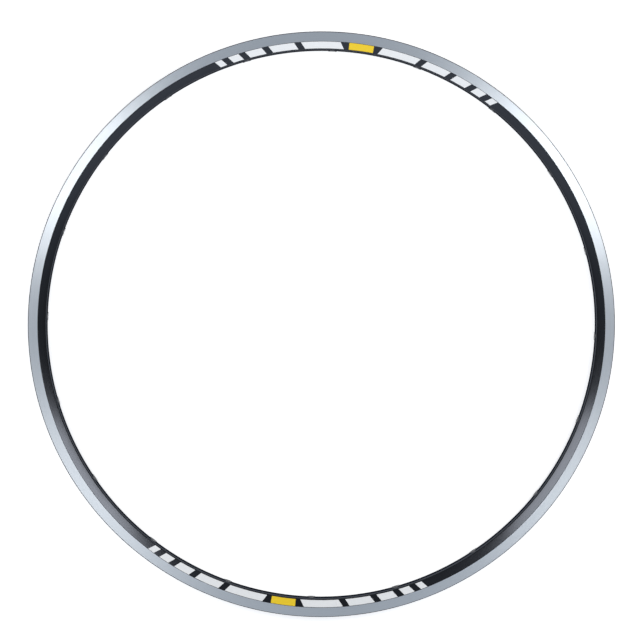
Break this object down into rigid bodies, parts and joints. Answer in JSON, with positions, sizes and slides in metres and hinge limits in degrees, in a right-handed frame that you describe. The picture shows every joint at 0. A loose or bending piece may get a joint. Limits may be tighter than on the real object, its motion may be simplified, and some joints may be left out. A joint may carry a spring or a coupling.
{
  "type": "bicycle rim",
  "caption": "Hooked clincher rim for a road bicycle wheel: hollow black aluminium hoop with bright brake tracks, eyeleted spoke holes and a valve hole.",
  "frame": {"origin": "the wheel's centre, half way through the rim's width", "axes": "+Z along the wheel's axis, out of the side with the decals, which is up as the rim lies flat; +X to the picture's right, +Y to its top"},
  "size_m": [0.6339, 0.634, 0.022],
  "materials": {
    "hoop": "black anodised, with bare turned brake tracks",
    "eyelets": "pressed stainless, blackened",
    "white_film": "vinyl film",
    "yellow_film": "vinyl film"
  },
  "bodies": {
    "root": {"rim_hoop": "hoop", "spoke_eyelets": "eyelets", "white_decals": "white_film", "yellow_decals": "yellow_film"}
  },
  "joints": []
}
